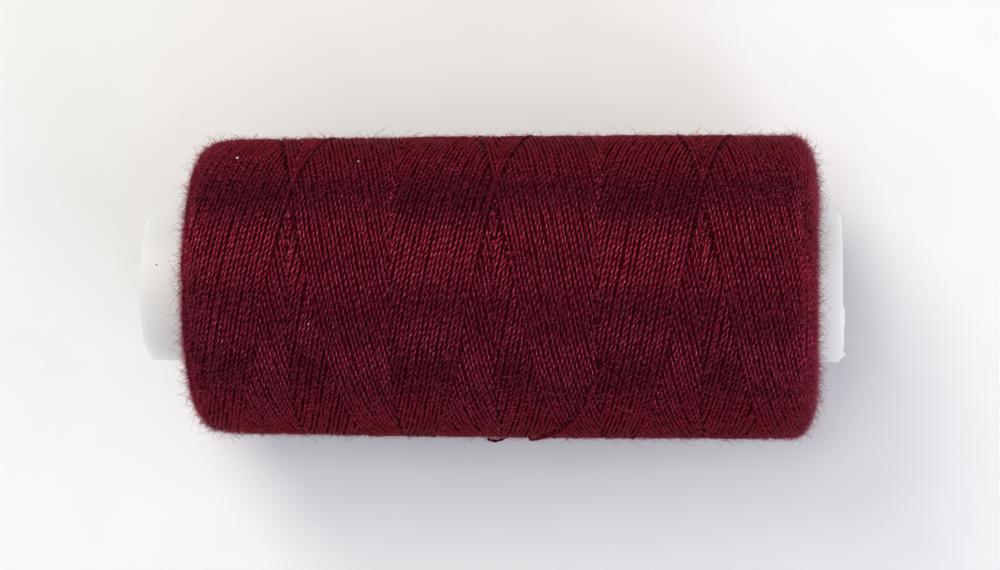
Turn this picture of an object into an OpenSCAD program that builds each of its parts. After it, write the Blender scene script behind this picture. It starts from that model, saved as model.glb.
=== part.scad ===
// Spool of sewing thread: a cross-wound package of fine thread on a plain plastic tube.
// The spool lies on its side on z = 0, with the tube along X and the tube's middle over the origin.
// Angles about the tube are in degrees, from straight up towards -Y.

/* [Tube] */
// Length of the tube
tube_len = 62; // [50:0.5:120]
// Outer diameter of the tube
tube_d = 13.4; // [8:0.1:18]
// Thickness of the tube's wall
tube_wall = 1.1; // [0.9:0.05:2]
// Rounding of the edges of both rims
rim_round = 0.3; // [0.1:0.05:0.4]
// How far the burr left by cutting the tube to length stands out of the right rim
burr_h = 0.2; // [0.1:0.05:0.5]
// Thickness of that burr
burr_t = 0.3; // [0.2:0.05:0.4]

/* [Winding] */
// Greatest diameter of the wound thread
wind_d = 27.1; // [24:0.1:60]
// Bare tube to the left of the winding
bare_left = 4.8; // [2:0.1:10]
// Bare tube to the right of the winding
bare_right = 2.4; // [1:0.1:10]
// How much the winding narrows towards its left end
left_taper = 0.7; // [0:0.05:2]
// How much the winding narrows towards its right end
right_taper = 0.2; // [0:0.05:2]
// Width of the rounded left shoulder, along the tube
left_shoulder_w = 4.5; // [1:0.1:8]
// Depth of the rounded left shoulder
left_shoulder_h = 2.4; // [1:0.1:5]
// Squareness of the left shoulder, where 2 is an ellipse
left_shoulder_n = 3.2; // [2:0.1:4]
// Width of the rounded right shoulder, along the tube
right_shoulder_w = 2.2; // [1:0.1:8]
// Depth of the rounded right shoulder
right_shoulder_h = 4.3; // [1:0.1:5]
// Squareness of the right shoulder, where 2 is an ellipse
right_shoulder_n = 2.4; // [2:0.1:4]

/* [Thread] */
// Diameter of the thread
thread_d = 0.3; // [0.2:0.02:0.5]
// How deep a strand beds into the strands under it
bedding = 0.15; // [0.05:0.01:0.18]
// Travel along the tube for one turn of the winding
lead = 17.8; // [12:0.1:40]
// Distance from the winding's left end at which the last strokes turn back
left_turn_inset = 0.8; // [0.6:0.1:4]
// Distance from the winding's right end at which they turn back
right_turn_inset = 1.2; // [0.6:0.1:4]
// Half the angle over which a stroke turns back
turn_angle = 8; // [4:1:30]
// Angle about the tube at which the last stroke turns back on the right
turn_at = 138; // [0:1:360]
// Close turns that grip the tube before the thread begins to traverse
start_turns = 12; // [4:1:24]
// Distance of those turns from the winding's left end
start_inset = 3; // [1:0.1:8]

/* [Hidden] */
$fn = 96;

plastic = "#E6E6DF";
thread_colour = "#641028";
strand_colour = "#7A1632";

// Room between the starting turns and the winding over them
start_clear = 0.02;
// How far neighbouring close turns press into each other
turn_press = 0.02;
// Free air between a lifted strand and the strand that it passes over
pass_clear = 0.01;

tube_r = tube_d / 2;
bore_r = tube_r - tube_wall;
wind_r = wind_d / 2;
thread_r = thread_d / 2;
wind_left = -tube_len / 2 + bare_left;
wind_right = tube_len / 2 - bare_right;
wind_len = wind_right - wind_left;
// The last strokes stand proud of the winding by what is not bedded, and the spool rests on them
axis_h = wind_r + thread_d - bedding;

// Power of the narrowing towards each end: a long slope on the left, a short one on the right
left_power = 3;
right_power = 6;
shoulder_steps = 14;
body_steps = 12;

// Radius of the winding without its shoulders
function barrel_r(x) =
    let (s = (x - wind_left) / wind_len)
    wind_r - left_taper / 2 * pow(1 - s, left_power) - right_taper / 2 * pow(s, right_power);

// Drop of a superelliptic shoulder, w wide and h deep, at a distance from the end face
function shoulder_drop(from_end, w, h, n) =
    from_end >= w ? 0 : h * (1 - pow(max(0, 1 - pow(1 - max(0, from_end) / w, n)), 1 / n));

function wind_surface(x) =
    barrel_r(x)
    - shoulder_drop(x - wind_left, left_shoulder_w, left_shoulder_h, left_shoulder_n)
    - shoulder_drop(wind_right - x, right_shoulder_w, right_shoulder_h, right_shoulder_n);

// Stations along the winding, closer together where a shoulder curves most
function shoulder_station(i, w, n) = w * (1 - pow(cos(90 * i / shoulder_steps), 2 / n));
stations = concat(
    [for (i = [0:shoulder_steps]) wind_left + shoulder_station(i, left_shoulder_w, left_shoulder_n)],
    [for (i = [1:body_steps - 1])
        let (a = wind_left + left_shoulder_w, b = wind_right - right_shoulder_w)
        a + (b - a) * i / body_steps],
    [for (i = [shoulder_steps:-1:0]) wind_right - shoulder_station(i, right_shoulder_w, right_shoulder_n)]
);

// Puts a solid of revolution about Z onto the spool's axis, with its +Z along +X
module on_axis() {
    translate([0, 0, axis_h]) rotate([0, 90, 0]) children();
}

// Turns a solid of revolution so that it starts at an angle about the tube
module from_angle(a) {
    rotate([0, 0, 180 + a]) children();
}

// A rectangle from (r0, z0) to (r1, z1) with round corners
module rounded_rect(r0, z0, r1, z1, e) {
    translate([r0 + e, z0]) square([r1 - r0 - 2 * e, z1 - z0]);
    translate([r0, z0 + e]) square([r1 - r0, z1 - z0 - 2 * e]);
    for (r = [r0 + e, r1 - e], z = [z0 + e, z1 - e]) translate([r, z]) circle(r = e);
}

// Ring of points about a path point p, with direction t and an outward vector u
function ring(p, t, u, r, sides) =
    let (
        d = t / norm(t),
        v = cross(d, u) / norm(cross(d, u)),
        w = cross(v, d)
    )
    [for (k = [0:sides - 1]) p + r * (cos(360 * k / sides) * w + sin(360 * k / sides) * v)];

function along(path, i) = path[min(i + 1, len(path) - 1)] - path[max(i - 1, 0)];

// A closed tube along a path, given an outward vector at each of its points
module strand(path, outward, r, sides) {
    last = len(path) - 1;
    points = [for (i = [0:last]) each ring(path[i], along(path, i), outward[i], r, sides)];
    side_faces = [
        for (i = [0:last - 1], k = [0:sides - 1])
        let (a = i * sides + k, b = i * sides + (k + 1) % sides)
        each [[a, b, a + sides], [b, b + sides, a + sides]]
    ];
    polyhedron(
        points = points,
        faces = concat(
            [[for (k = [sides - 1:-1:0]) k]],
            side_faces,
            [[for (k = [0:sides - 1]) last * sides + k]]
        )
    );
}

// The last strokes. Both run away from one turning point on the right, at x = turn_x, where they
// are joined: the outward stroke arrives there and the return stroke leaves it. At an angle "away"
// from the turning point, both are at the same x, so they cross at each half turn. Each is a
// straight helix that rounds off, as a hyperbola does, towards the turning point at either end.
stroke_sides = 6;
stroke_step = 4;
turn_x = wind_right - right_turn_inset;
left_turn_x = wind_left + left_turn_inset;
stroke_angle = (turn_x - left_turn_x) * 360 / lead + 2 * turn_angle;
stroke_rings = ceil(stroke_angle / stroke_step);
function rounding(away) = sqrt(away * away + turn_angle * turn_angle) - away;
function stroke_x(away) =
    turn_x - lead / 360 * (away - turn_angle + rounding(away) - rounding(stroke_angle - away));

// Rise of the return stroke where it passes over the outward one, as a bump over each crossing
pass_reach = 14;
function pass_rise(away) =
    let (off = abs(away - 180 * max(1, round(away / 180))))
    off >= pass_reach ? 0 : (thread_d + pass_clear) * pow(cos(90 * off / pass_reach), 2);

function outward_at(a) = [0, -sin(a), cos(a)];
function on_winding(x, a, rise) =
    [x, 0, axis_h] + (wind_surface(x) + thread_r - bedding + rise) * outward_at(a);

module stroke(turn_sign, passes_over) {
    aways = [for (i = [0:stroke_rings]) stroke_angle * i / stroke_rings];
    path = [
        for (w = aways)
        on_winding(stroke_x(w), turn_at + turn_sign * w, passes_over ? pass_rise(w) : 0)
    ];
    outward = [for (w = aways) outward_at(turn_at + turn_sign * w)];
    strand(path, outward, thread_r, stroke_sides);
}

// The free end of the thread: route points from where it leaves the winding, over the flank,
// down to the ground and along it, ending in a small hook
end_sides = 8;
end_steps = 3;
end_route = [
    [10.6, -6.5, 25.65],
    [10.05, -7.75, 24.95],
    [9.55, -8.55, 24.4],
    [9.1, -9.75, 23.35],
    [8.85, -10.4, 22.6],
    [8.1, -11.3, 21.5],
    [7.65, -11.85, 20.65],
    [7.0, -12.35, 19.6],
    [6.4, -12.8, 18.6],
    [5.6, -13.1, 17.6],
    [4.9, -13.35, 16.65],
    [4.0, -13.6, 15.4],
    [3.45, -13.7, 14.2],
    [3.2, -13.65, 12.4],
    [3.0, -13.35, 10],
    [2.8, -13.4, 7.5],
    [2.6, -13.55, 5],
    [2.3, -13.75, 2.8],
    [1.75, -13.9, 1.2],
    [1.0, -14.1, 0.4],
    [0.15, -14.2, 0.2],
    [-0.3, -14.45, 0.2],
    [-1.0, -14.65, 0.2],
    [-1.75, -14.45, 0.2],
];

// Catmull-Rom curve through the route points, with end_steps spans between two of them
function spline_point(a, b, c, d, s) =
    0.5 * (2 * b + (c - a) * s + (2 * a - 5 * b + 4 * c - d) * s * s + (3 * b - a - 3 * c + d) * s * s * s);
function smooth(route, steps) = [
    for (i = [0:len(route) - 2], k = [0:steps - 1])
    spline_point(
        route[max(0, i - 1)], route[i], route[i + 1], route[min(len(route) - 1, i + 2)], k / steps
    ),
    route[len(route) - 1]
];

// Plain tube with rounded rims and a through bore, and the burr on the lower half of its right rim
module tube() {
    burr_from = 16;
    burr_to = 62;
    nub_to = 74;
    color(plastic) on_axis() {
        rotate_extrude() rounded_rect(bore_r, -tube_len / 2, tube_r, tube_len / 2, rim_round);
        // The burr is seated in the rounding, so its foot reaches under the rim
        from_angle(burr_from) rotate_extrude(angle = burr_to - burr_from)
            translate([tube_r - rim_round - burr_t, tube_len / 2 - rim_round])
                square([burr_t, rim_round + burr_h]);
        from_angle(burr_to) rotate_extrude(angle = nub_to - burr_to)
            translate([tube_r - rim_round - burr_t, tube_len / 2 - rim_round])
                square([burr_t + rim_round / 2, rim_round + 2 * burr_h]);
    }
}

// The first turns, wound close together on the bare tube so that they grip it
module starting_turns() {
    pitch = thread_d - turn_press;
    color(strand_colour) on_axis()
        for (i = [0:start_turns - 1])
            translate([0, 0, wind_left + start_inset + thread_r + i * pitch])
                rotate_extrude() difference() {
                    translate([tube_r + thread_r - turn_press, 0]) circle(d = thread_d, $fn = 24);
                    translate([0, -thread_d]) square([tube_r, 2 * thread_d]);
                }
}

// The bulk of the cross-wound thread, as one body of revolution with a relief for the first turns
module wound_thread() {
    start_len = start_turns * (thread_d - turn_press) + turn_press;
    relief_from = wind_left + start_inset - start_clear;
    color(thread_colour) on_axis() difference() {
        rotate_extrude() polygon(concat(
            [[tube_r, wind_left]],
            [for (x = stations) [wind_surface(x), x]],
            [[tube_r, wind_right]]
        ));
        translate([0, 0, relief_from])
            cylinder(r = tube_r + thread_d - turn_press + start_clear, h = start_len + 2 * start_clear);
    }
}

// The last stroke from left to right, which arrives at the turning point
module last_stroke_out() {
    color(strand_colour) stroke(-1, false);
}

// The last stroke from right to left, which leaves the turning point and lies over the other
module last_stroke_back() {
    color(strand_colour) stroke(1, true);
}

// The loose end of the thread
module thread_end() {
    path = smooth(end_route, end_steps);
    outward = [
        for (i = [0:len(path) - 1])
        let (d = along(path, i), n = [0, path[i].y, path[i].z - axis_h])
        n - d * (n * d) / (d * d)
    ];
    color(strand_colour) strand(path, outward, thread_r, end_sides);
}

tube();
starting_turns();
wound_thread();
last_stroke_out();
last_stroke_back();
thread_end();
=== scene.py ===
import math

import bmesh
import bpy
import numpy as np
from mathutils import Matrix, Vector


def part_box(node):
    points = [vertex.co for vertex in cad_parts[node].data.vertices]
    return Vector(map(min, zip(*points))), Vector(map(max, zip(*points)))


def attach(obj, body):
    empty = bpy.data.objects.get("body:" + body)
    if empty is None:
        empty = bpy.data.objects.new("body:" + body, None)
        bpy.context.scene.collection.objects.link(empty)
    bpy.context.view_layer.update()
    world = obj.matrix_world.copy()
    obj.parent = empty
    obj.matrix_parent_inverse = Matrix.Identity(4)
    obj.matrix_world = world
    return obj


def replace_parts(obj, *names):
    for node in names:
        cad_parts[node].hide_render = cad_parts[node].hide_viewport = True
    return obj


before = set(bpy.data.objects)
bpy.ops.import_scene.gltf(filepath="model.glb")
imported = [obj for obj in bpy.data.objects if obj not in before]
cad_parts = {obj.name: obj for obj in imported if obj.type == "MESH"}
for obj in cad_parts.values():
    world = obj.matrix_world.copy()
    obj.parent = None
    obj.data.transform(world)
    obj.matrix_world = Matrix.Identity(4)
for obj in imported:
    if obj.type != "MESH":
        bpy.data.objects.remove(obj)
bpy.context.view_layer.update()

# Lengths in this file are in millimetres, and MM turns them into metres. The spool lies along X.
# Angles about its axis are in degrees, from straight up towards -Y, as they are in the solids.
MM = 0.001
BODY = "root"


# ---------------------------------------------------------------------------------------------
# Camera
# A long lens looks straight down from a quarter of a metre, over a point to the right of the
# spool's middle, and leans back to the left to centre the spool.

wind_low, wind_high = (np.array(corner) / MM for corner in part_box("wound_thread"))
AXIS_HEIGHT = (wind_low[2] + wind_high[2]) / 2

CAMERA_RIGHT = 22.05
CAMERA_BACK = 0.38
CAMERA_ABOVE_AXIS = 254.1
CAMERA_LEAN = 4.83
CAMERA_PITCH = -0.05
CAMERA_ROLL = 0.03
FOCAL_LENGTH = 102.09
SENSOR_WIDTH = 36.0

camera_data = bpy.data.cameras.new("camera")
camera_data.sensor_width = SENSOR_WIDTH
camera_data.lens = FOCAL_LENGTH
camera_data.clip_start = 0.01
camera = bpy.data.objects.new("camera", camera_data)
bpy.context.scene.collection.objects.link(camera)
camera.matrix_world = (
    Matrix.Translation(MM * np.array([CAMERA_RIGHT, CAMERA_BACK, AXIS_HEIGHT + CAMERA_ABOVE_AXIS]))
    @ Matrix.Rotation(math.radians(CAMERA_LEAN), 4, "Y")
    @ Matrix.Rotation(math.radians(CAMERA_PITCH), 4, "X")
    @ Matrix.Rotation(math.radians(CAMERA_ROLL), 4, "Z")
)
bpy.context.scene.camera = camera


# ---------------------------------------------------------------------------------------------
# The thread, and its loose end
# Two-ply sewing thread of spun polyester, Z twisted and dyed burgundy. Its last few centimetres
# leave the winding, hang over the flank and lie on the ground, cut off bare.

THREAD_D = 0.30
PLY_LAY = 1.27
# The waist of the thread where its two plies lie side by side, as a share of its full radius
PLY_WAIST = 0.54
UNEVENNESS = 0.11
UNEVENNESS_LIMIT = 0.2
random = np.random.default_rng(7)


def hex_colour(text):
    """Linear colour of an sRGB hex value, by the standard's curve."""
    value = np.array([int(text[i:i + 2], 16) for i in (1, 3, 5)]) / 255
    linear = np.where(value <= 0.04045, value / 12.92, ((value + 0.055) / 1.055) ** 2.4)
    return (*linear, 1.0)


def unit(vectors):
    """Vectors over their own lengths."""
    return vectors / np.linalg.norm(vectors, axis=-1, keepdims=True)


def tube_quads(rings, sides):
    """Corner numbers of a closed tube: a square between each two neighbours on each two rings, and
    a fan of squares over either end, all seen from outside in the order that faces them out."""
    ring, side = np.meshgrid(np.arange(rings - 1), np.arange(sides), indexing="ij")
    beside = (side + 1) % sides
    wall = np.stack([ring * sides + side, ring * sides + beside,
                     (ring + 1) * sides + beside, (ring + 1) * sides + side], -1).reshape(-1, 4)
    fan = np.array([[0, k, k + 1, k + 2] for k in range(1, sides - 2, 2)])
    return np.concatenate([wall, fan[:, ::-1], fan + (rings - 1) * sides])


def tube_uv(along, sides):
    """One pair for each corner of tube_quads: how far along the tube, in the units of "along", and
    how far round it, from 0 to 1."""
    ring, side = np.meshgrid(np.arange(len(along) - 1), np.arange(sides), indexing="ij")
    u = np.stack([along[ring], along[ring], along[ring + 1], along[ring + 1]], -1)
    v = np.stack([side, side + 1, side + 1, side], -1) / sides
    wall = np.stack([u, v], -1).reshape(-1, 2)
    fans = 4 * len(range(1, sides - 2, 2))
    ends = np.repeat([[along[0], 0.0], [along[-1], 0.0]], fans, axis=0)
    return np.concatenate([wall, ends])


def two_ply(path, outward, sides, lead_in=0.0, diameter=THREAD_D):
    """Thread along a path. At an angle a from the outward direction, its radius is
    R (m + (1 - m) cos 2(a - twist)), largest over the two plies and least between them, and the
    twist grows by one turn for each lay of length. Spun yarn is uneven, so each point is also a
    little nearer or further at random. Gives points, quads and UVs in lays."""
    forward = unit(np.gradient(path, axis=0))
    aside = unit(np.cross(forward, outward))
    up = np.cross(aside, forward)
    steps = np.linalg.norm(np.diff(path, axis=0), axis=1)
    lays = (lead_in + np.concatenate([[0.0], np.cumsum(steps)])) / PLY_LAY
    angle = 2 * np.pi * np.arange(sides) / sides
    middle = (1 + PLY_WAIST) / 2
    radius = diameter / 2 * (middle + (1 - middle) * np.cos(2 * (angle - 2 * np.pi * lays[:, None])))
    radius = radius * random.normal(1, UNEVENNESS, radius.shape).clip(
        1 - UNEVENNESS_LIMIT, 1 + UNEVENNESS_LIMIT)
    points = path[:, None] + radius[..., None] * (
        np.cos(angle)[:, None] * up[:, None] + np.sin(angle)[:, None] * aside[:, None])
    return points.reshape(-1, 3), tube_quads(len(path), sides), tube_uv(lays, sides)


def joined(parts):
    """One set of points, quads and UVs from several."""
    first = np.cumsum([0] + [len(points) for points, _, _ in parts])
    return (np.concatenate([points for points, _, _ in parts]),
            np.concatenate([quads + start for (_, quads, _), start in zip(parts, first)]),
            np.concatenate([uv for _, _, uv in parts]))


def make_piece(name, points, faces, uv, material, slot):
    """A smooth mesh object from points in millimetres, in the frame's own place. Its faces are
    arrays of corner numbers, all of one size or a list of such arrays, with a UV per corner."""
    faces = faces if isinstance(faces, list) else [faces]
    corners = np.concatenate([part.ravel() for part in faces])
    sizes = np.concatenate([np.full(len(part), part.shape[1]) for part in faces])
    mesh = bpy.data.meshes.new(name)
    mesh.vertices.add(len(points))
    mesh.vertices.foreach_set("co", (points * MM).astype(np.float32).ravel())
    mesh.loops.add(len(corners))
    mesh.loops.foreach_set("vertex_index", corners.astype(np.int32))
    mesh.polygons.add(len(sizes))
    mesh.polygons.foreach_set("loop_start", (np.cumsum(sizes) - sizes).astype(np.int32))
    mesh.update(calc_edges=True)
    mesh.polygons.foreach_set("use_smooth", np.ones(len(sizes), bool))
    mesh.uv_layers.new(name="surface").data.foreach_set("uv", uv.astype(np.float32).ravel())
    mesh.materials.append(material)
    piece = bpy.data.objects.new(name, mesh)
    bpy.context.scene.collection.objects.link(piece)
    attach(piece, BODY)
    return piece


def new_material(name):
    """An empty node material and its surface output."""
    material = bpy.data.materials.new(name)
    material.use_nodes = True
    tree = material.node_tree
    tree.nodes.clear()
    return material, tree, tree.nodes.new("ShaderNodeOutputMaterial")


def add_node(tree, kind, inputs=(), **settings):
    """Adds a node, sets its settings, and gives each named or numbered input a value or a link."""
    node = tree.nodes.new(kind)
    for name, value in settings.items():
        setattr(node, name, value)
    for name, value in dict(inputs).items():
        if isinstance(value, bpy.types.NodeSocket):
            tree.links.new(value, node.inputs[name])
        else:
            node.inputs[name].default_value = value
    return node


def spun_polyester_thread(name, dye, deep, painted_highlight_colour, fluff):
    """Spun polyester staple, two plies twisted Z: each dyed fibre shines across its own length, and
    the short ends give a faint soft sheen. Its colour has painted shade, darker in the groove
    between the plies, and painted highlights on the brightest crests. Reads the thread's UVs."""
    material, tree, output = new_material(name)
    uv = add_node(tree, "ShaderNodeUVMap", uv_map="surface").outputs["UV"]
    parts = add_node(tree, "ShaderNodeSeparateXYZ", {0: uv})
    # Two plies: the crest comes round twice for each turn about the thread
    turn = add_node(tree, "ShaderNodeMath", {0: parts.outputs["Y"], 1: parts.outputs["X"]},
                    operation="SUBTRACT").outputs[0]
    phase = add_node(tree, "ShaderNodeMath", {0: turn, 1: 4 * math.pi},
                     operation="MULTIPLY").outputs[0]
    wave = add_node(tree, "ShaderNodeMath", {0: phase}, operation="COSINE").outputs[0]
    crest = add_node(tree, "ShaderNodeMapRange",
                     {0: wave, "From Min": -1.0, "From Max": 0.6, "To Min": 0.25}).outputs[0]
    # Staple fibres, 0.015 mm thick and drawn three times as coarse so that they show
    fibre_spot = add_node(tree, "ShaderNodeCombineXYZ",
                          {0: parts.outputs["X"], 1: add_node(
                              tree, "ShaderNodeMath", {0: turn, 1: 20.0},
                              operation="MULTIPLY").outputs[0]})
    fibres = add_node(tree, "ShaderNodeTexNoise",
                      {"Vector": fibre_spot.outputs[0], "Scale": 2.2, "Detail": 2.0}).outputs[0]
    depth = add_node(tree, "ShaderNodeMath", {0: crest, 1: fibres},
                     operation="MULTIPLY").outputs[0]
    # Tufts of fibres, about 0.8 mm long and 0.15 mm wide, with stronger or weaker painted light
    tuft_spot = add_node(tree, "ShaderNodeVectorMath", {0: fibre_spot.outputs[0], 1: (1.6, 0.3, 0)},
                         operation="MULTIPLY").outputs[0]
    tufts = add_node(tree, "ShaderNodeTexNoise",
                     {"Vector": tuft_spot, "Scale": 1.0, "Detail": 3.0, "Roughness": 0.6}).outputs[0]
    painted_light = add_node(tree, "ShaderNodeMath", {0: crest, 1: tufts}, operation="MULTIPLY").outputs[0]
    # Painted shade: the colour goes towards the deep one in the groove between the plies
    shade = add_node(tree, "ShaderNodeMapRange",
                     {0: painted_light, "From Min": 0.22, "From Max": 0.56}).outputs[0]
    colour = add_node(tree, "ShaderNodeMix", {0: shade, 6: hex_colour(deep), 7: hex_colour(dye)},
                      data_type="RGBA").outputs[2]
    # Painted highlight: the brightest crests go towards the glint colour
    painted_highlight_mix = add_node(tree, "ShaderNodeMapRange",
                      {0: painted_light, "From Min": 0.50, "From Max": 0.80}).outputs[0]
    colour = add_node(tree, "ShaderNodeMix", {0: painted_highlight_mix, 6: colour, 7: hex_colour(painted_highlight_colour)},
                      data_type="RGBA").outputs[2]
    # Loose fibres lie over the strands here and there, in patches about 0.2 mm across
    place = add_node(tree, "ShaderNodeTexCoord").outputs["Object"]
    loose = add_node(tree, "ShaderNodeTexNoise", {"Vector": place, "Scale": 1 / (0.2 * MM),
                                                  "Detail": 3.0, "Roughness": 0.7}).outputs[0]
    patches = add_node(tree, "ShaderNodeMapRange",
                       {0: loose, "From Min": 0.48, "From Max": 0.68, "To Max": 0.7}).outputs[0]
    colour = add_node(tree, "ShaderNodeMix", {0: patches, 6: colour, 7: hex_colour(fluff)},
                      data_type="RGBA").outputs[2]
    # The fibres lie along the thread whichever way a ply slopes, so the normal is turned until it
    # is square to the thread, and a highlight stays narrow along the fibres and spreads across
    along = add_node(tree, "ShaderNodeTangent", direction_type="UV_MAP",
                     uv_map="surface").outputs[0]
    normal = add_node(tree, "ShaderNodeNewGeometry").outputs["Normal"]
    slope = add_node(tree, "ShaderNodeVectorMath", {0: normal, 1: along},
                     operation="DOT_PRODUCT").outputs["Value"]
    tilt = add_node(tree, "ShaderNodeVectorMath", {0: along, "Scale": slope},
                    operation="SCALE").outputs[0]
    square = add_node(tree, "ShaderNodeVectorMath", {0: normal, 1: tilt},
                      operation="SUBTRACT").outputs[0]
    square = add_node(tree, "ShaderNodeVectorMath", {0: square}, operation="NORMALIZE").outputs[0]
    bump = add_node(tree, "ShaderNodeBump", {"Height": depth, "Strength": 0.10,
                                             "Distance": 0.04 * MM, "Normal": square}).outputs[0]
    shader = add_node(tree, "ShaderNodeBsdfPrincipled", {
        "Base Color": colour, "Metallic": 0.97, "Roughness": 0.25, "IOR": 1.6,
        "Specular IOR Level": 0.2, "Specular Tint": hex_colour("#C46C80"), "Anisotropic": 1.0,
        "Anisotropic Rotation": 0.25, "Tangent": along, "Sheen Weight": 0.10,
        "Sheen Roughness": 0.5, "Sheen Tint": hex_colour("#E890B0"), "Normal": bump})
    tree.links.new(shader.outputs[0], output.inputs["Surface"])
    return material


# The deep colour is painted shade for the groove between the plies, the glint colour a painted
# highlight on the crests
thread_material = spun_polyester_thread("spun_polyester_thread", dye="#8C152B", deep="#3C0010",
                                        painted_highlight_colour="#BE665E", fluff="#8A2A4C")

END_SIDES = 8
END_STEPS = 12
END_ROUTE = np.array([
    [10.6, -6.5, 25.65], [10.05, -7.75, 24.95], [9.55, -8.55, 24.4], [9.1, -9.75, 23.35],
    [8.85, -10.4, 22.6], [8.1, -11.3, 21.5], [7.65, -11.85, 20.65], [7.0, -12.35, 19.6],
    [6.4, -12.8, 18.6], [5.6, -13.1, 17.6], [4.9, -13.35, 16.65], [4.0, -13.6, 15.4],
    [3.45, -13.7, 14.2], [3.2, -13.65, 12.4], [3.0, -13.35, 10], [2.8, -13.4, 7.5],
    [2.6, -13.55, 5], [2.3, -13.75, 2.8], [1.75, -13.9, 1.2], [1.0, -14.1, 0.4], [0.15, -14.2, 0.2],
    [-0.3, -14.45, 0.2], [-1.0, -14.65, 0.2], [-1.75, -14.45, 0.2],
])


def smooth_route(route, steps):
    """Catmull-Rom curve: between two points of the route, the cubic whose slope at each of them
    is half the step from the point before it to the point after it."""
    before = np.concatenate([route[:1], route[:-2]])[:, None]
    here = route[:-1][:, None]
    there = route[1:][:, None]
    after = np.concatenate([route[2:], route[-1:]])[:, None]
    s = (np.arange(steps) / steps)[None, :, None]
    curve = 0.5 * (2 * here + (there - before) * s
                   + (2 * before - 5 * here + 4 * there - after) * s ** 2
                   + (3 * here - before - 3 * there + after) * s ** 3)
    return np.concatenate([curve.reshape(-1, 3), route[-1:]])


end_path = smooth_route(END_ROUTE, END_STEPS)
away_from_axis = end_path * [0, 1, 1] - [0, 0, AXIS_HEIGHT]
end_forward = unit(np.gradient(end_path, axis=0))
end_outward = unit(away_from_axis - end_forward
                   * np.sum(away_from_axis * end_forward, axis=1, keepdims=True))
thread_end = make_piece("loose_thread_end", *two_ply(end_path, end_outward, END_SIDES),
                        thread_material, "thread")
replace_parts(thread_end, "thread_end")


# ---------------------------------------------------------------------------------------------
# The tube
# A plain tube of natural white polypropylene, a little see-through. Its rims are rounded, and
# the cut to length left a thin burr on the lower half of the right rim, with a nub at its end.

tube_low, tube_high = (np.array(corner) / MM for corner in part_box("tube"))
BURR_H = 0.2
NUB_H = 0.4
TUBE_RIGHT = tube_high[0] - NUB_H
TUBE_LEFT = tube_low[0]
TUBE_R = (tube_high[2] - tube_low[2]) / 2
TUBE_WALL = 1.1
BORE_R = TUBE_R - TUBE_WALL
RIM_ROUND = 0.3
TUBE_SEGMENTS = 180
BURR_FROM, BURR_TO = 16, 62
BURR_FADE = 3
BURR_EVEN, BURR_RIPPLE = 0.8, 0.25
RIPPLES, RIPPLE_SWELLS = 23, 9
BURR_INSET, BURR_SPREAD = 0.28, 0.16
NUB_AT, NUB_WIDTH = 68, 5
ARC_POINTS = 7


def turned(profile, segments):
    """A closed profile of (x, r) points carried round the axis: a point at angle a is at
    (x, -r sin a, axis + r cos a). Gives a grid of points, profile by segment."""
    angle = 2 * np.pi * np.arange(segments) / segments
    x, r = profile[:, :1], profile[:, 1:]
    grid = np.stack([x + 0 * angle, -r * np.sin(angle), AXIS_HEIGHT + r * np.cos(angle)], -1)
    return grid, np.degrees(angle)


def torus_quads(rows, columns):
    """Corner numbers of a grid that closes on itself both ways, and a UV pair for each corner."""
    row, column = np.meshgrid(np.arange(rows), np.arange(columns), indexing="ij")
    below, beside = (row + 1) % rows, (column + 1) % columns
    quads = np.stack([row * columns + column, row * columns + beside,
                      below * columns + beside, below * columns + column], -1)
    u = np.stack([column, column + 1, column + 1, column], -1) / columns
    v = np.stack([row, row, row + 1, row + 1], -1) / rows
    return quads.reshape(-1, 4), np.stack([u, v], -1).reshape(-1, 2)


def rounded_corner(x, r, start):
    """Quarter of a circle about (x, r), from an angle on, in degrees from +x towards +r."""
    a = np.radians(start + np.linspace(0, 90, ARC_POINTS))
    return np.stack([x + RIM_ROUND * np.cos(a), r + RIM_ROUND * np.sin(a)], -1)


def straight(start, end, count):
    """Points between two ends, without the ends."""
    share = (np.arange(1, count) / count)[:, None]
    return (1 - share) * np.array(start) + share * np.array(end)


tube_profile = np.concatenate([
    rounded_corner(TUBE_RIGHT - RIM_ROUND, TUBE_R - RIM_ROUND, 0),
    straight([TUBE_RIGHT - RIM_ROUND, TUBE_R], [TUBE_LEFT + RIM_ROUND, TUBE_R], 20),
    rounded_corner(TUBE_LEFT + RIM_ROUND, TUBE_R - RIM_ROUND, 90),
    rounded_corner(TUBE_LEFT + RIM_ROUND, BORE_R + RIM_ROUND, 180),
    straight([TUBE_LEFT + RIM_ROUND, BORE_R], [TUBE_RIGHT - RIM_ROUND, BORE_R], 20),
    rounded_corner(TUBE_RIGHT - RIM_ROUND, BORE_R + RIM_ROUND, 270),
    straight([TUBE_RIGHT, BORE_R + RIM_ROUND], [TUBE_RIGHT, TUBE_R - RIM_ROUND], 8),
])
tube_grid, tube_angle = turned(tube_profile, TUBE_SEGMENTS)

# The burr is drawn out of the rim's outer edge: x grows by its height there, which ripples and
# dies away over three degrees at either end, or by the nub's, a bump of cosine shape
from_middle = np.abs(tube_angle - (BURR_FROM + BURR_TO) / 2) - (BURR_TO - BURR_FROM) / 2
burr = BURR_H * np.clip(0.5 - from_middle / BURR_FADE, 0, 1) * (
    BURR_EVEN + BURR_RIPPLE * np.sin(np.radians(RIPPLES * tube_angle))
    * np.sin(np.radians(RIPPLE_SWELLS * tube_angle)))
nub = NUB_H * np.clip(np.cos(np.radians(90 * (tube_angle - NUB_AT) / NUB_WIDTH).clip(
    -np.pi / 2, np.pi / 2)), 0, 1) ** 0.5
burr_place = np.exp(-((tube_profile[:, 1] - (TUBE_R - BURR_INSET)) / BURR_SPREAD) ** 2) * (
    tube_profile[:, 0] > TUBE_RIGHT - 0.5 * RIM_ROUND)
tube_grid[..., 0] += burr_place[:, None] * np.maximum(burr, nub)


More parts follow.
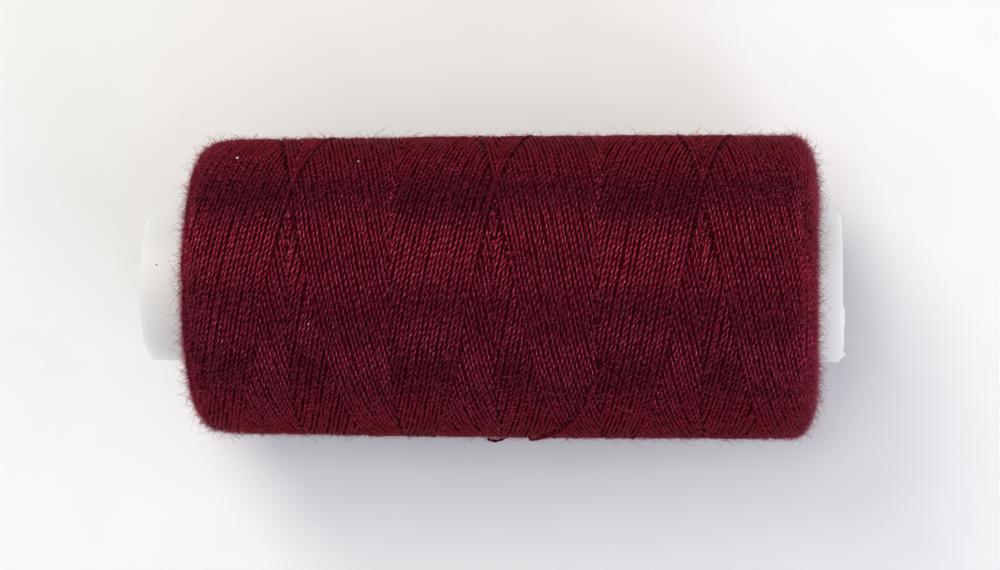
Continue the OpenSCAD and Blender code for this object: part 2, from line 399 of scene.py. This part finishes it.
def moulded_polypropylene(name, milk, haze):
    """Natural polypropylene: milky and slightly see-through, with a satin skin from the mould and
    faint lines along the draw. Light goes a little way in, so its edges look soft."""
    material, tree, output = new_material(name)
    place = add_node(tree, "ShaderNodeTexCoord").outputs["Object"]
    # Draw lines about 0.4 mm apart, all along the tube
    lines = add_node(tree, "ShaderNodeMapping", {"Vector": place, "Scale": (20, 2500, 2500)})
    drawn = add_node(tree, "ShaderNodeTexNoise",
                     {"Vector": lines.outputs[0], "Scale": 1.0, "Detail": 2.0}).outputs[0]
    cloud = add_node(tree, "ShaderNodeTexNoise",
                     {"Vector": place, "Scale": 350.0, "Detail": 2.0}).outputs[0]
    colour = add_node(tree, "ShaderNodeMix", {0: cloud, 6: hex_colour(haze), 7: hex_colour(milk)},
                      data_type="RGBA").outputs[2]
    bump = add_node(tree, "ShaderNodeBump",
                    {"Height": drawn, "Strength": 0.15, "Distance": 0.02 * MM}).outputs[0]
    shader = add_node(tree, "ShaderNodeBsdfPrincipled", {
        "Base Color": colour, "Roughness": 0.38, "IOR": 1.49, "Specular IOR Level": 0.4,
        "Subsurface Weight": 1.0, "Subsurface Radius": (1.0, 1.0, 0.95),
        "Subsurface Scale": 10.0 * MM, "Normal": bump})
    tree.links.new(shader.outputs[0], output.inputs["Surface"])
    return material


tube = make_piece("plastic_tube", tube_grid.reshape(-1, 3),
                  *torus_quads(len(tube_profile), TUBE_SEGMENTS),
                  moulded_polypropylene("moulded_polypropylene", milk="#FFFCF5", haze="#F9F6EF"),
                  "tube_plastic")
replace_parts(tube, "tube")


# ---------------------------------------------------------------------------------------------
# The winding's shape, and its core
# The package that the thread has built up: a barrel that narrows a little to the left, with a
# shoulder at either end. Its core is the thread under the strands that show, packed tight, and
# coloured darker than the thread as painted shade in the gaps.

WIND_R = (wind_high[2] - wind_low[2]) / 2
WIND_LEFT, WIND_RIGHT = wind_low[0], wind_high[0]
WIND_LEN = WIND_RIGHT - WIND_LEFT
LEFT_NARROWING, LEFT_POWER = 0.35, 3
RIGHT_NARROWING, RIGHT_POWER = 0.10, 6
LEFT_SHOULDER = (4.5, 2.4, 3.2)
RIGHT_SHOULDER = (2.2, 4.3, 2.4)
CORE_DEPTH = 0.30


def shoulder_drop(from_end, shoulder):
    """How far a shoulder is below the barrel: for width w, height h and power n, the
    superellipse h (1 - (1 - (1 - d / w)^n)^(1 / n)) at a distance d from the end."""
    width, height, power = shoulder
    share = np.clip(1 - from_end / width, 0, 1)
    return height * (1 - np.clip(1 - share ** power, 0, 1) ** (1 / power))


def wind_surface(x):
    """Radius of the winding at x: the barrel, less a cubic narrowing to the left, a steeper one
    to the right, and both shoulders."""
    s = np.clip((x - WIND_LEFT) / WIND_LEN, 0, 1)
    barrel = WIND_R - LEFT_NARROWING * (1 - s) ** LEFT_POWER - RIGHT_NARROWING * s ** RIGHT_POWER
    return (barrel - shoulder_drop(x - WIND_LEFT, LEFT_SHOULDER)
            - shoulder_drop(WIND_RIGHT - x, RIGHT_SHOULDER))


def outward_at(angle):
    """The direction straight out of the axis at an angle in degrees."""
    a = np.radians(angle)
    return np.stack([0 * a, -np.sin(a), np.cos(a)], -1)


def on_spool(x, r, angle):
    """The point at x along the spool, r from its axis and at an angle in degrees."""
    x, r, angle = np.broadcast_arrays(x, r, angle)
    return np.stack([x, 0 * x, 0 * x + AXIS_HEIGHT], -1) + r[..., None] * outward_at(angle)


def meridian():
    """Points (x, r) down the outside of the winding from the left of its tube to the right, evenly
    spaced over the shoulders: x follows w (1 - cos(t)^(2 / n)) as t goes through a right angle."""
    def shoulder_x(shoulder, count):
        t = np.radians(np.linspace(0, 90, count))
        return shoulder[0] * (1 - np.cos(t) ** (2 / shoulder[2]))
    x = np.concatenate([
        WIND_LEFT + shoulder_x(LEFT_SHOULDER, 30),
        np.linspace(WIND_LEFT + LEFT_SHOULDER[0], WIND_RIGHT - RIGHT_SHOULDER[0], 60)[1:-1],
        (WIND_RIGHT - shoulder_x(RIGHT_SHOULDER, 30))[::-1]])
    return np.stack([x, wind_surface(x)], -1)


outline = meridian()
slope = unit(np.gradient(outline, axis=0))
inset = outline + CORE_DEPTH * np.stack([slope[:, 1], -slope[:, 0]], -1)
START_INSET = 3.0
START_TURNS = 12
START_PITCH = 0.28
START_CLEAR = 0.02
CORE_SEAT_R = TUBE_R + 0.01
RELIEF_R = TUBE_R + THREAD_D + START_CLEAR
relief_from = WIND_LEFT + START_INSET - 0.1
relief_to = relief_from + START_TURNS * START_PITCH + 0.3
core_left, core_right = WIND_LEFT + CORE_DEPTH, WIND_RIGHT - CORE_DEPTH
core_profile = np.concatenate([
    straight([core_left, CORE_SEAT_R], inset[0], 6),
    inset,
    straight(inset[-1], [core_right, CORE_SEAT_R], 6),
    [[core_right, CORE_SEAT_R], [relief_to, CORE_SEAT_R], [relief_to, RELIEF_R],
     [relief_from, RELIEF_R], [relief_from, CORE_SEAT_R], [core_left, CORE_SEAT_R]],
])[::-1]
CORE_SEGMENTS = 120
core_grid, _ = turned(core_profile, CORE_SEGMENTS)


def packed_thread(name, dye, deep):
    """Thread packed under thread, seen only in the grooves between strands: matt, and coloured far
    darker than the thread as painted shade. Fine noise as coarse as a strand breaks it up."""
    material, tree, output = new_material(name)
    place = add_node(tree, "ShaderNodeTexCoord").outputs["Object"]
    grain = add_node(tree, "ShaderNodeTexNoise",
                     {"Vector": place, "Scale": 1 / (THREAD_D * MM), "Detail": 2.0}).outputs[0]
    colour = add_node(tree, "ShaderNodeMix",
                      {0: grain, 6: hex_colour(deep), 7: hex_colour(dye)},
                      data_type="RGBA").outputs[2]
    bump = add_node(tree, "ShaderNodeBump",
                    {"Height": grain, "Strength": 0.8, "Distance": 0.1 * MM}).outputs[0]
    shader = add_node(tree, "ShaderNodeBsdfPrincipled",
                      {"Base Color": colour, "Roughness": 0.8, "Specular IOR Level": 0.0,
                       "Normal": bump})
    tree.links.new(shader.outputs[0], output.inputs["Surface"])
    return material


# Both colours are far darker than the thread's dye: painted shade for the grooves between the
# strands
core = make_piece("winding_core", core_grid.reshape(-1, 3),
                  *torus_quads(len(core_profile), CORE_SEGMENTS),
                  packed_thread("packed_thread", dye="#560018", deep="#280009"), "thread")
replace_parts(core, "wound_thread")


# ---------------------------------------------------------------------------------------------
# The first turns
# A dozen close turns that grip the bare tube, under the winding, before the thread traverses.

STRAND_SIDES = 6
START_STEP = 3.0
start_angle = np.arange(0, 360 * START_TURNS, START_STEP)
start_x = WIND_LEFT + START_INSET + THREAD_D / 2 + START_PITCH * start_angle / 360
start_path = on_spool(start_x, TUBE_R + THREAD_D / 2, start_angle)
first_turns = make_piece("first_turns",
                         *two_ply(start_path, outward_at(start_angle), STRAND_SIDES),
                         thread_material, "thread")
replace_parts(first_turns, "starting_turns")


# ---------------------------------------------------------------------------------------------
# The strokes that show
# The thread goes to and fro along the spool three turns at a time. Each double stroke lies beside
# the one before it, and after 46 of them the pattern has gone once round. An outward stroke runs
# from left to right and a return stroke from right to left, and where two cross, the newer one is
# on top. The two newest stand a little proud, because nothing lies over them.

LEAD = 17.8
TURN_LEFT = WIND_LEFT + 0.8
TURN_RIGHT = WIND_RIGHT - 1.2
TURN_ANGLE = 8
TURN_AT = 138
DOUBLE_STROKES = 46
PER_DEGREE = LEAD / 360
STROKE_ANGLE = (TURN_RIGHT - TURN_LEFT) / PER_DEGREE + 2 * TURN_ANGLE
STROKE_STEP = 0.66
# Under tension, a strand on the winding spreads a little
LAID_D = 0.355
PROUD = 0.10
SUNK = 0.25
HIDDEN = 0.30
# A strand goes under a newer one between these shares of the step to its neighbour, and in front
# of the newest of all between these distances
UNDER_FROM, UNDER_TO = 0.1, 0.85
AHEAD_FROM, AHEAD_TO = 1.3, 0.45
# How far in from where it is covered a strand starts to sink, is at its deepest, and is cut off
SINK_FROM, SINK_TO, CUT_AT = 0.4, 1.4, 1.6
NOT_COVERED = 99
SHORTEST_RUN = 6
# A strand isn't laid quite straight: it is a little aside or too deep, sways slowly over a length
# somewhere between these angles, and wanders over each few degrees
ASIDE, LEVEL = 0.025, 0.015
SWAY, SWAY_FROM, SWAY_TO = 0.03, 60, 200
WANDER, WANDER_EVERY = 0.035, 5
PASS_REACH = 14
PASS_CLEAR = 0.01


def rounding(away):
    """How far a hyperbola that bends over TURN_ANGLE still is from its straight line."""
    return np.sqrt(away ** 2 + TURN_ANGLE ** 2) - away


def stroke_x(away):
    """x at an angle away from the turn on the right: a straight line with a round turn at each
    end."""
    return TURN_RIGHT - PER_DEGREE * (
        away - TURN_ANGLE + rounding(away) - rounding(STROKE_ANGLE - away))


def smoothstep(value, start, end):
    """0 before the start, 1 after the end, and 3t^2 - 2t^3 between them."""
    t = np.clip((value - start) / (end - start), 0, 1)
    return t * t * (3 - 2 * t)


def stroke_depths(way, age, x, angle):
    """How deep the strands of one way lie, and which of their points are kept. The age of the
    other way's strand at a point is how far its pattern has moved since it was laid, in whole
    cycles, so a strand is on top where its own age is the less, and dives under just before."""
    ahead = PER_DEGREE * TURN_AT
    start = TURN_RIGHT + PER_DEGREE * TURN_ANGLE
    if way == "back":
        other = (x - PER_DEGREE * angle - (start - ahead)) / LEAD % 1
    else:
        other = ((start + ahead) - (x + PER_DEGREE * angle)) / LEAD % 1
    step = 1 / DOUBLE_STROKES
    younger = other - age - (step if way == "out" else 0)
    per_mm = 2 / LEAD * PER_DEGREE / math.radians(WIND_R)
    under = smoothstep(-younger, UNDER_FROM * step, UNDER_TO * step)
    under = np.maximum(under, smoothstep(other, 1 - AHEAD_FROM * per_mm, 1 - AHEAD_TO * per_mm))
    past = np.minimum((-younger - step) / per_mm, NOT_COVERED)
    since_newest = other / per_mm
    buried = np.minimum(past, np.where(younger < 0, since_newest, NOT_COVERED))
    under = np.where((younger < 0) | (other < 0.5 * step), np.maximum(under, other < age), under)
    return under, buried


def laid_strands(way):
    """Runs of each older strand of one way that can be seen, with a short buried end each."""
    turns = 1 if way == "back" else -1
    away = np.arange(0, STROKE_ANGLE, STROKE_STEP)
    runs = []
    for number in range(1, DOUBLE_STROKES):
        age = number / DOUBLE_STROKES
        angle = TURN_AT - 360 * age + turns * away
        x = stroke_x(away)
        under, buried = stroke_depths(way, age, x, angle)
        sway = random.normal(0, ASIDE) + SWAY * np.sin(
            2 * np.pi * away / random.uniform(SWAY_FROM, SWAY_TO) + random.uniform(0, 6))
        knots = np.arange(0, STROKE_ANGLE + WANDER_EVERY, WANDER_EVERY)
        sway = sway + np.interp(away, knots, random.normal(0, WANDER, len(knots)))
        level = random.normal(0, LEVEL)
        r = (wind_surface(x) - PROUD - SUNK * under + level
             - HIDDEN * smoothstep(buried, SINK_FROM, SINK_TO))
        path = on_spool(x + sway, r, angle)
        outward = outward_at(angle)
        keep = buried < CUT_AT
        edges = np.flatnonzero(np.diff(np.concatenate([[0], keep.astype(int), [0]])))
        for first, last in edges.reshape(-1, 2):
            if last - first > SHORTEST_RUN:
                runs.append((path[first:last], outward[first:last]))
    return runs


def stroke_pieces(way, count):
    """The runs of one way as a few meshes, so that none is too large."""
    runs = laid_strands(way)
    sizes = np.cumsum([len(path) for path, _ in runs])
    piece_of = np.minimum(count * sizes // (sizes[-1] + 1), count - 1)
    for k in range(count):
        parts = [two_ply(path, outward, STRAND_SIDES, random.uniform(0, PLY_LAY), LAID_D)
                 for (path, outward), p in zip(runs, piece_of) if p == k]
        piece = make_piece(f"strokes_{way}_{k + 1}", *joined(parts), thread_material, "thread")
        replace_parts(piece, "wound_thread")


stroke_pieces("out", 4)
stroke_pieces("back", 4)


def newest_stroke(name, turns, rise):
    """The last stroke of one way, all of it, as the solids have it."""
    away = np.arange(0, STROKE_ANGLE, STROKE_STEP)
    angle = TURN_AT + turns * away
    x = stroke_x(away)
    path = on_spool(x, wind_surface(x) + rise(away), angle)
    return make_piece(name, *two_ply(path, outward_at(angle), STRAND_SIDES),
                      thread_material, "thread")


def pass_rise(away):
    """Rise of the return stroke over the outward one, a cosine bump at each half turn."""
    off = np.abs(away - 180 * np.maximum(1, np.round(away / 180)))
    bump = np.cos(np.radians(90 * np.minimum(off / PASS_REACH, 1))) ** 2
    return (THREAD_D + PASS_CLEAR) * bump


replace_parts(newest_stroke("newest_stroke_out", -1, lambda away: 0 * away), "last_stroke_out")
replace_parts(newest_stroke("newest_stroke_back", 1, pass_rise), "last_stroke_back")


# ---------------------------------------------------------------------------------------------
# The ends of the winding
# Where the strokes of the lower layers turned back, their bends are stacked over both shoulders
# and down both end faces to the tube, in rows of short arcs that dive under each other.

ROW_PITCH = 0.30
ROW_SIDES = 5
ROW_STEP = 0.20
BEND_REACH = 26
BEND_EVERY = 24
BEND_WIDTH = 25
BEND_UNEVEN_DEPTH, BEND_UNEVEN_PLACE, BEND_UNEVEN_ANGLE = 0.02, 0.03, 2


def end_rows(turn, end):
    """Points (x, r) and outward directions at even steps, from where the strokes turn over the
    shoulder and down the face to the tube."""
    out = np.sign(end)
    line = outline[out * outline[:, 0] > out * turn]
    line = np.concatenate([line[np.argsort(-line[:, 1])], [[end, TUBE_R + THREAD_D]]])
    run = np.concatenate([[0], np.cumsum(np.linalg.norm(np.diff(line, axis=0), axis=1))])
    steps = np.arange(0, run[-1], ROW_PITCH)
    spots = np.stack([np.interp(steps, run, line[:, 0]), np.interp(steps, run, line[:, 1])], -1)
    down = unit(np.gradient(spots, axis=0))
    return spots, out * np.stack([-down[:, 1], down[:, 0]], -1)


def end_loops(name, turn, end):
    """All rows at one end. A bend is deepest at its ends: at an angle a from its middle it has
    sunk k (sqrt(a^2 + w^2) - w), where k is the travel along the tube for each degree."""
    parts = []
    for (x, r), (along_x, along_r) in zip(*end_rows(turn, end)):
        first = random.uniform(0, BEND_EVERY)
        angle = np.arange(-BEND_REACH, BEND_REACH, math.degrees(ROW_STEP / r))
        sunk = PROUD + PER_DEGREE * (np.hypot(angle, BEND_WIDTH) - BEND_WIDTH)
        for middle in np.arange(first, first + 359, BEND_EVERY):
            deep = sunk + random.normal(0, BEND_UNEVEN_DEPTH)
            path = on_spool(x - along_x * deep + random.normal(0, BEND_UNEVEN_PLACE),
                            r - along_r * deep,
                            middle + random.normal(0, BEND_UNEVEN_ANGLE) + angle)
            outward = along_x * np.array([1, 0, 0]) + along_r * outward_at(middle + angle)
            parts.append(two_ply(path, outward, ROW_SIDES, random.uniform(0, PLY_LAY), LAID_D))
    piece = make_piece(name, *joined(parts), thread_material, "thread")
    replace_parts(piece, "wound_thread")


end_loops("bends_left", TURN_LEFT, WIND_LEFT)
end_loops("bends_right", TURN_RIGHT, WIND_RIGHT)


# ---------------------------------------------------------------------------------------------
# Fuzz
# Ends and loops of the staple fibres that stand out of the thread all over the winding, closest
# together at its ends: each is finer than a hair. Most are short and straight; the longer ones
# curl over.

FIBRE_D = 0.023
FIBRE_SHORTEST, FIBRE_LONGEST = 0.2, 1.7
FIBRE_SIDES = 3
ROOT_LIFT = 0.12
# How much closer together, longer and straighter up the fibres are where the ends are worn
END_WEAR = 3.8
END_WEAR_REACH = 2.5
WORN_LONGER = 0.4
WORN_UPRIGHT = 1.2
UPRIGHT = 2.2
CURL_ASIDE, CURL_BACK = 0.7, 0.8


def fuzz_roots(count):
    """Where the fibres start, over the barrel, shoulders and faces, the directions out of the
    surface, round the tube and along the outline there, and how worn it is there. The ends rub on
    whatever they touch: at a distance e from an end the wear is exp(-e / reach), and there are
    1 + END_WEAR times the wear as many fibres for each area."""
    line = np.concatenate([[[WIND_LEFT, TUBE_R + 0.2]], outline, [[WIND_RIGHT, TUBE_R + 0.2]]])
    steps = np.linalg.norm(np.diff(line, axis=0), axis=1)
    from_end = np.minimum(line[:-1, 0] - WIND_LEFT, WIND_RIGHT - line[:-1, 0])
    worn = np.exp(-from_end / END_WEAR_REACH)
    area = np.concatenate([[0], np.cumsum(
        (1 + END_WEAR * worn) * steps * (line[1:, 1] + line[:-1, 1]) / 2)])
    chosen = random.uniform(0, area[-1], count)
    x, r = np.interp(chosen, area, line[:, 0]), np.interp(chosen, area, line[:, 1])
    place = np.clip(np.searchsorted(area, chosen) - 1, 0, len(steps) - 1)
    way = unit(np.diff(line, axis=0))[place]
    angle = random.uniform(0, 360, count)
    radial = outward_at(angle)
    x_axis = np.array([1.0, 0, 0])
    out = -way[:, 1:] * x_axis + way[:, :1] * radial
    across = way[:, :1] * x_axis + way[:, 1:] * radial
    return on_spool(x, r, angle), out, np.cross(out, across), across, worn[place, None]


def fuzz(name, count, rings, longer, material):
    """Fibres as three-sided tubes that end in a point. At a share t of its length L, a fibre is at
    root + L (t d + t^2 b), where d starts it off and b bends it sideways and back down. L is the
    shortest length and, at random, some more: longer is the mean of that. Where the thread is worn
    they are longer and stand up straighter. None goes below z = 0, which the spool lies on."""
    root, out, around, across, worn = fuzz_roots(count)
    heading = random.normal(0, 1.0, (count, 1))
    flat = np.cos(heading) * around * random.choice([-1, 1], (count, 1)) + np.sin(heading) * across
    rise = random.uniform(0.15, 1.0, (count, 1)) ** 1.5
    length = np.clip(random.exponential(longer, (count, 1)) * (1 + WORN_LONGER * worn)
                     + FIBRE_SHORTEST, FIBRE_SHORTEST, FIBRE_LONGEST)
    start = unit(flat + (UPRIGHT * rise + WORN_UPRIGHT * worn) * out)
    bend = (random.normal(0, CURL_ASIDE, (count, 1)) * np.cross(out, flat)
            - random.uniform(0.0, CURL_BACK, (count, 1)) * rise * out)
    t = np.linspace(0, 1, rings + 1)[None, :, None]
    lift = random.uniform(0.0, ROOT_LIFT, (count, 1))
    path = (root + lift * out)[:, None] + length[:, None] * (
        t * start[:, None] + t ** 2 * bend[:, None])
    path[..., 2] = np.maximum(path[..., 2], FIBRE_D / 2)
    forward = unit(np.gradient(path, axis=1))
    side = unit(np.cross(forward, out[:, None]))
    up = np.cross(side, forward)
    turn = 2 * np.pi * np.arange(FIBRE_SIDES) / FIBRE_SIDES
    tubes = path[:, :-1, None] + FIBRE_D / 2 * (
        np.cos(turn)[:, None] * up[:, :-1, None] + np.sin(turn)[:, None] * side[:, :-1, None])
    points = np.concatenate([tubes.reshape(count, -1, 3), path[:, -1:]], axis=1)
    ring, side_number = np.meshgrid(np.arange(rings), np.arange(FIBRE_SIDES), indexing="ij")
    here = ring * FIBRE_SIDES + side_number
    beside = ring * FIBRE_SIDES + (side_number + 1) % FIBRE_SIDES
    wall = np.stack([here, beside, beside + FIBRE_SIDES, here + FIBRE_SIDES], -1)[:-1].reshape(-1, 4)
    tip = FIBRE_SIDES * rings
    ends = np.array([[2, 1, 0], *np.stack([here[-1], beside[-1], 0 * here[-1] + tip], -1)])
    base = (tip + 1) * np.arange(count)[:, None, None]
    faces = [(wall + base).reshape(-1, 4), (ends + base).reshape(-1, 3)]
    piece = make_piece(name, points.reshape(-1, 3), faces, np.zeros((sum(f.size for f in faces), 2)),
                       material, "thread")
    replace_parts(piece, "wound_thread")


def staple_fibre(name, dye):
    """Single dyed polyester fibres: so fine that light comes through them, which makes them
    paler than the thread."""
    material, tree, output = new_material(name)
    shader = add_node(tree, "ShaderNodeBsdfPrincipled", {
        "Base Color": hex_colour(dye), "Roughness": 0.5, "IOR": 1.6, "Specular IOR Level": 0.3})
    tree.links.new(shader.outputs[0], output.inputs["Surface"])
    return material


fibre_material = staple_fibre("staple_fibre", dye="#A6304E")
fuzz("fuzz_curled", 12000, 3, 0.38, fibre_material)
for number in (1, 2, 3):
    fuzz(f"fuzz_short_{number}", 24000, 1, 0.18, fibre_material)


# ---------------------------------------------------------------------------------------------
# Lint and flecks
# What a used spool picks up: crumbs of pale lint caught on the thread, and two dark flecks on the
# plastic. Each is an uneven ball pressed half into what it is on.

LINT = [(-22.0, -57, 0.22), (-11.2, -54.4, 0.16), (-14.8, 13.7, 0.12)]
FLECKS = [(-29.4, -17, 0.16), (29.9, 16, 0.12)]
CRUMB_SUNK = 0.02


def crumb(name, place, size, material, slot):
    """An uneven ball of the given size about a place in millimetres."""
    ball = bmesh.new()
    bmesh.ops.create_icosphere(ball, subdivisions=2, radius=0.5)
    points = np.array([corner.co for corner in ball.verts])
    faces = np.array([[corner.index for corner in face.verts] for face in ball.faces])
    ball.free()
    points = place + size * points * random.uniform(0.7, 1.2, (len(points), 1))
    return make_piece(name, points, faces, np.zeros((faces.size, 2)), material, slot)


def plain_matt(name, tone):
    """A matt scrap of one colour."""
    material, tree, output = new_material(name)
    shader = add_node(tree, "ShaderNodeBsdfPrincipled",
                      {"Base Color": hex_colour(tone), "Roughness": 0.9, "Specular IOR Level": 0.1})
    tree.links.new(shader.outputs[0], output.inputs["Surface"])
    return material


cotton_lint = plain_matt("cotton_lint", "#E6D2B4")
scorched_fleck = plain_matt("scorched_fleck", "#4A4238")
for number, (x, angle, size) in enumerate(LINT):
    place = on_spool(x, WIND_R - CRUMB_SUNK, angle)
    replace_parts(crumb(f"lint_{number}", place, size, cotton_lint, "thread"), "wound_thread")
for number, (x, angle, size) in enumerate(FLECKS):
    place = on_spool(x, TUBE_R - CRUMB_SUNK, angle)
    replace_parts(crumb(f"fleck_{number}", place, size, scorched_fleck, "tube_plastic"), "tube")


# ---------------------------------------------------------------------------------------------
# Ground and light
# A pale matt ground by a tall window. Most light comes from there, beyond the spool on its left,
# some from a cooler window on the near side on its right and off the walls past either end, and
# the ceiling gives the rest.

def pale_ground(name):
    """Matt white card, with a faint mottle."""
    material, tree, output = new_material(name)
    place = add_node(tree, "ShaderNodeTexCoord").outputs["Object"]
    mottle = add_node(tree, "ShaderNodeTexNoise",
                      {"Vector": place, "Scale": 120.0, "Detail": 3.0}).outputs[0]
    colour = add_node(tree, "ShaderNodeMix",
                      {0: mottle, 6: hex_colour("#F3F3F3"), 7: hex_colour("#F9F9F9")},
                      data_type="RGBA").outputs[2]
    shader = add_node(tree, "ShaderNodeBsdfPrincipled",
                      {"Base Color": colour, "Roughness": 0.85, "Specular IOR Level": 0.1})
    tree.links.new(shader.outputs[0], output.inputs["Surface"])
    return material


GROUND_HALF = 600.0
ground_mesh = bpy.data.meshes.new("ground")
ground_corners = np.array([[-1, -1, 0], [1, -1, 0], [1, 1, 0], [-1, 1, 0]]) * GROUND_HALF * MM
ground_mesh.from_pydata(ground_corners.tolist(), [], [(0, 1, 2, 3)])
ground_mesh.materials.append(pale_ground("white_card"))
ground = bpy.data.objects.new("ground", ground_mesh)
bpy.context.scene.collection.objects.link(ground)


LAMP_DISTANCE = 600.0


def soft_light(name, azimuth, elevation, width, height, watts, colour):
    """A rectangular lamp that faces the spool from a direction given in degrees, with the azimuth
    from +X towards +Y."""
    lamp = bpy.data.lights.new(name, "AREA")
    lamp.shape = "RECTANGLE"
    lamp.size, lamp.size_y = width * MM, height * MM
    lamp.energy = watts
    lamp.color = hex_colour(colour)[:3]
    holder = bpy.data.objects.new(name, lamp)
    bpy.context.scene.collection.objects.link(holder)
    holder.matrix_world = (
        Matrix.Translation((0, 0, AXIS_HEIGHT * MM))
        @ Matrix.Rotation(math.radians(azimuth - 90), 4, "Z")
        @ Matrix.Rotation(math.radians(elevation - 90), 4, "X")
        @ Matrix.Translation((0, 0, LAMP_DISTANCE * MM)))


soft_light("window_low", 121, 30, 240, 110, 0.43, "#FFF8EC")
soft_light("window", 122, 46, 240, 130, 0.75, "#FFF6E8")
soft_light("window_high", 124, 60, 240, 100, 0.39, "#FFF6E6")
soft_light("window_top", 128, 80, 240, 110, 0.57, "#FFFAF2")
soft_light("near_low", 313, 16, 260, 120, 0.41, "#E4E4FF")
soft_light("near_window", 313, 35, 260, 120, 0.74, "#E4E4FF")
soft_light("right_wall", 0, 32, 320, 260, 0.60, "#FFF6F4")
soft_light("left_wall", 180, 32, 320, 260, 0.20, "#FFFAF2")

world = bpy.data.worlds.new("studio")
world.use_nodes = True
world.node_tree.nodes["Background"].inputs["Color"].default_value = hex_colour("#F2F8FF")
world.node_tree.nodes["Background"].inputs["Strength"].default_value = 0.45
bpy.context.scene.world = world
bpy.context.scene.view_settings.view_transform = "Standard"
